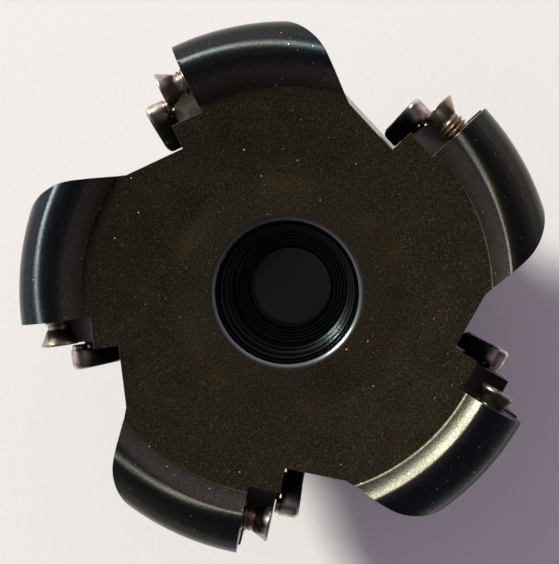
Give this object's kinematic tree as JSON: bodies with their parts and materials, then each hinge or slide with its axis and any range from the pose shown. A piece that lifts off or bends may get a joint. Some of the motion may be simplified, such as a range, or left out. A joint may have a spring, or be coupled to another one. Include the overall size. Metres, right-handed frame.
{
  "type": "face mill",
  "caption": "Arbor-mounted face mill for round inserts, right-hand, with screw-held and clamped insert seats around a flat front and a stepped central bore; inserts not fitted.",
  "frame": {"origin": "centre of the rear seating face, on the cutter axis", "axes": "+Z along the cutter axis from the rear face to the cutting face; +X through the insert seat of tooth 1; teeth are numbered counter-clockwise seen from the cutting face, which is also the cutting direction"},
  "size_m": [0.0779, 0.0766, 0.0492],
  "materials": {
    "body_black_oxide": "black oxide on turned steel",
    "clamp_black_oxide": "black oxide steel",
    "clamp_screw_steel": "blackened steel",
    "insert_screw_steel": "bare steel"
  },
  "bodies": {
    "cutter_body": {"cutter_body": "body_black_oxide"},
    "insert_screw_1": {"insert_screw_1": "insert_screw_steel"},
    "clamp_1": {"clamp_1": "clamp_black_oxide"},
    "clamp_screw_1": {"clamp_screw_1": "clamp_screw_steel"},
    "insert_screw_2": {"insert_screw_2": "insert_screw_steel"},
    "clamp_2": {"clamp_2": "clamp_black_oxide"},
    "clamp_screw_2": {"clamp_screw_2": "clamp_screw_steel"},
    "insert_screw_3": {"insert_screw_3": "insert_screw_steel"},
    "clamp_3": {"clamp_3": "clamp_black_oxide"},
    "clamp_screw_3": {"clamp_screw_3": "clamp_screw_steel"},
    "insert_screw_4": {"insert_screw_4": "insert_screw_steel"},
    "clamp_4": {"clamp_4": "clamp_black_oxide"},
    "clamp_screw_4": {"clamp_screw_4": "clamp_screw_steel"},
    "insert_screw_5": {"insert_screw_5": "insert_screw_steel"},
    "clamp_5": {"clamp_5": "clamp_black_oxide"},
    "clamp_screw_5": {"clamp_screw_5": "clamp_screw_steel"}
  },
  "joints": [
    {"name": "insert_screw_1_slide", "type": "slide", "parent": "cutter_body", "child": "insert_screw_1", "axis": [0, 1, 0], "range_m": [-0.0032, 0.0056]},
    {"name": "clamp_1_lift", "type": "slide", "parent": "cutter_body", "child": "clamp_1", "axis": [0, 1, 0], "range_m": [0, 0.00245]},
    {"name": "clamp_screw_1_turn", "type": "hinge", "parent": "clamp_1", "child": "clamp_screw_1", "pos_m": [0.0299, 0.00855, 0.0365], "axis": [0, 1, 0], "range_deg": [0, 1260]},
    {"name": "insert_screw_2_slide", "type": "slide", "parent": "cutter_body", "child": "insert_screw_2", "axis": [-0.9511, 0.309, 0], "range_m": [-0.0024, 0.0064]},
    {"name": "clamp_2_lift", "type": "slide", "parent": "cutter_body", "child": "clamp_2", "axis": [-0.9511, 0.309, 0], "range_m": [0, 0.00245]},
    {"name": "clamp_screw_2_turn", "type": "hinge", "parent": "clamp_2", "child": "clamp_screw_2", "pos_m": [0.00111, 0.03108, 0.0365], "axis": [-0.9511, 0.309, 0], "range_deg": [0, 1260]},
    {"name": "insert_screw_3_slide", "type": "slide", "parent": "cutter_body", "child": "insert_screw_3", "axis": [-0.5878, -0.809, 0], "range_m": [-0.002, 0.0068]},
    {"name": "clamp_3_lift", "type": "slide", "parent": "cutter_body", "child": "clamp_3", "axis": [-0.5878, -0.809, 0], "range_m": [0, 0.00245]},
    {"name": "clamp_screw_3_turn", "type": "hinge", "parent": "clamp_3", "child": "clamp_screw_3", "pos_m": [-0.02922, 0.01066, 0.0365], "axis": [-0.5878, -0.809, 0], "range_deg": [0, 1260]},
    {"name": "insert_screw_4_slide", "type": "slide", "parent": "cutter_body", "child": "insert_screw_4", "axis": [0.5878, -0.809, 0], "range_m": [-0.0024, 0.0064]},
    {"name": "clamp_4_lift", "type": "slide", "parent": "cutter_body", "child": "clamp_4", "axis": [0.5878, -0.809, 0], "range_m": [0, 0.00245]},
    {"name": "clamp_screw_4_turn", "type": "hinge", "parent": "clamp_4", "child": "clamp_screw_4", "pos_m": [-0.01916, -0.02449, 0.0365], "axis": [0.5878, -0.809, 0], "range_deg": [0, 1260]},
    {"name": "insert_screw_5_slide", "type": "slide", "parent": "cutter_body", "child": "insert_screw_5", "axis": [0.9511, 0.309, 0], "range_m": [-0.0007, 0.0081]},
    {"name": "clamp_5_lift", "type": "slide", "parent": "cutter_body", "child": "clamp_5", "axis": [0.9511, 0.309, 0], "range_m": [0, 0.00245]},
    {"name": "clamp_screw_5_turn", "type": "hinge", "parent": "clamp_5", "child": "clamp_screw_5", "pos_m": [0.01737, -0.02579, 0.0365], "axis": [0.9511, 0.309, 0], "range_deg": [0, 1260]}
  ],
  "couplings": [
    {"joint": "clamp_screw_1_turn", "follows": "clamp_1_lift", "rad_per_m": 8976},
    {"joint": "clamp_screw_2_turn", "follows": "clamp_2_lift", "rad_per_m": 8976},
    {"joint": "clamp_screw_3_turn", "follows": "clamp_3_lift", "rad_per_m": 8976},
    {"joint": "clamp_screw_4_turn", "follows": "clamp_4_lift", "rad_per_m": 8976},
    {"joint": "clamp_screw_5_turn", "follows": "clamp_5_lift", "rad_per_m": 8976}
  ]
}
